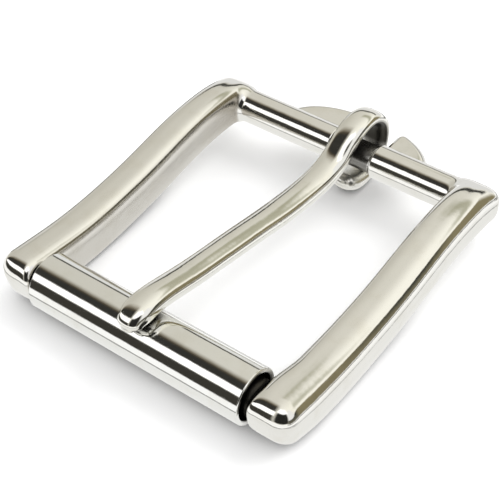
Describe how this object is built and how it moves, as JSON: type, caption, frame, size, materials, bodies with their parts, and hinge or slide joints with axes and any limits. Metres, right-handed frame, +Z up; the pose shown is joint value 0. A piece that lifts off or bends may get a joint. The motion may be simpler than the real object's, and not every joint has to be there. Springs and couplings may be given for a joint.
{
  "type": "roller belt buckle",
  "caption": "Heavy roller belt buckle: a cast frame with two wavy side rails, a turning roller sleeve on the front axle and a hooked tongue that swings on the heel bar.",
  "frame": {"origin": "on the surface the buckle lies on, under the middle of its width and length", "axes": "+X along the roller and the heel bar, +Y along the strap from the roller to the heel bar, +Z up out of the face of the belt"},
  "size_m": [0.0534, 0.0622, 0.0134],
  "materials": {
    "frame_metal": "mirror polished, faintly warm",
    "roller_metal": "mirror polished",
    "tongue_metal": "mirror polished, faintly warm"
  },
  "bodies": {
    "frame": {"frame": "frame_metal"},
    "roller": {"roller": "roller_metal"},
    "tongue": {"tongue": "tongue_metal"}
  },
  "joints": [
    {"name": "tongue_swing", "type": "hinge", "parent": "frame", "child": "tongue", "pos_m": [0, 0.02295, 0.00662], "axis": [-1, 0, 0], "range_deg": [0, 170]},
    {"name": "roller_spin", "type": "hinge", "parent": "frame", "child": "roller", "pos_m": [0, -0.02655, 0.00442], "axis": [1, 0, 0], "continuous": true}
  ]
}
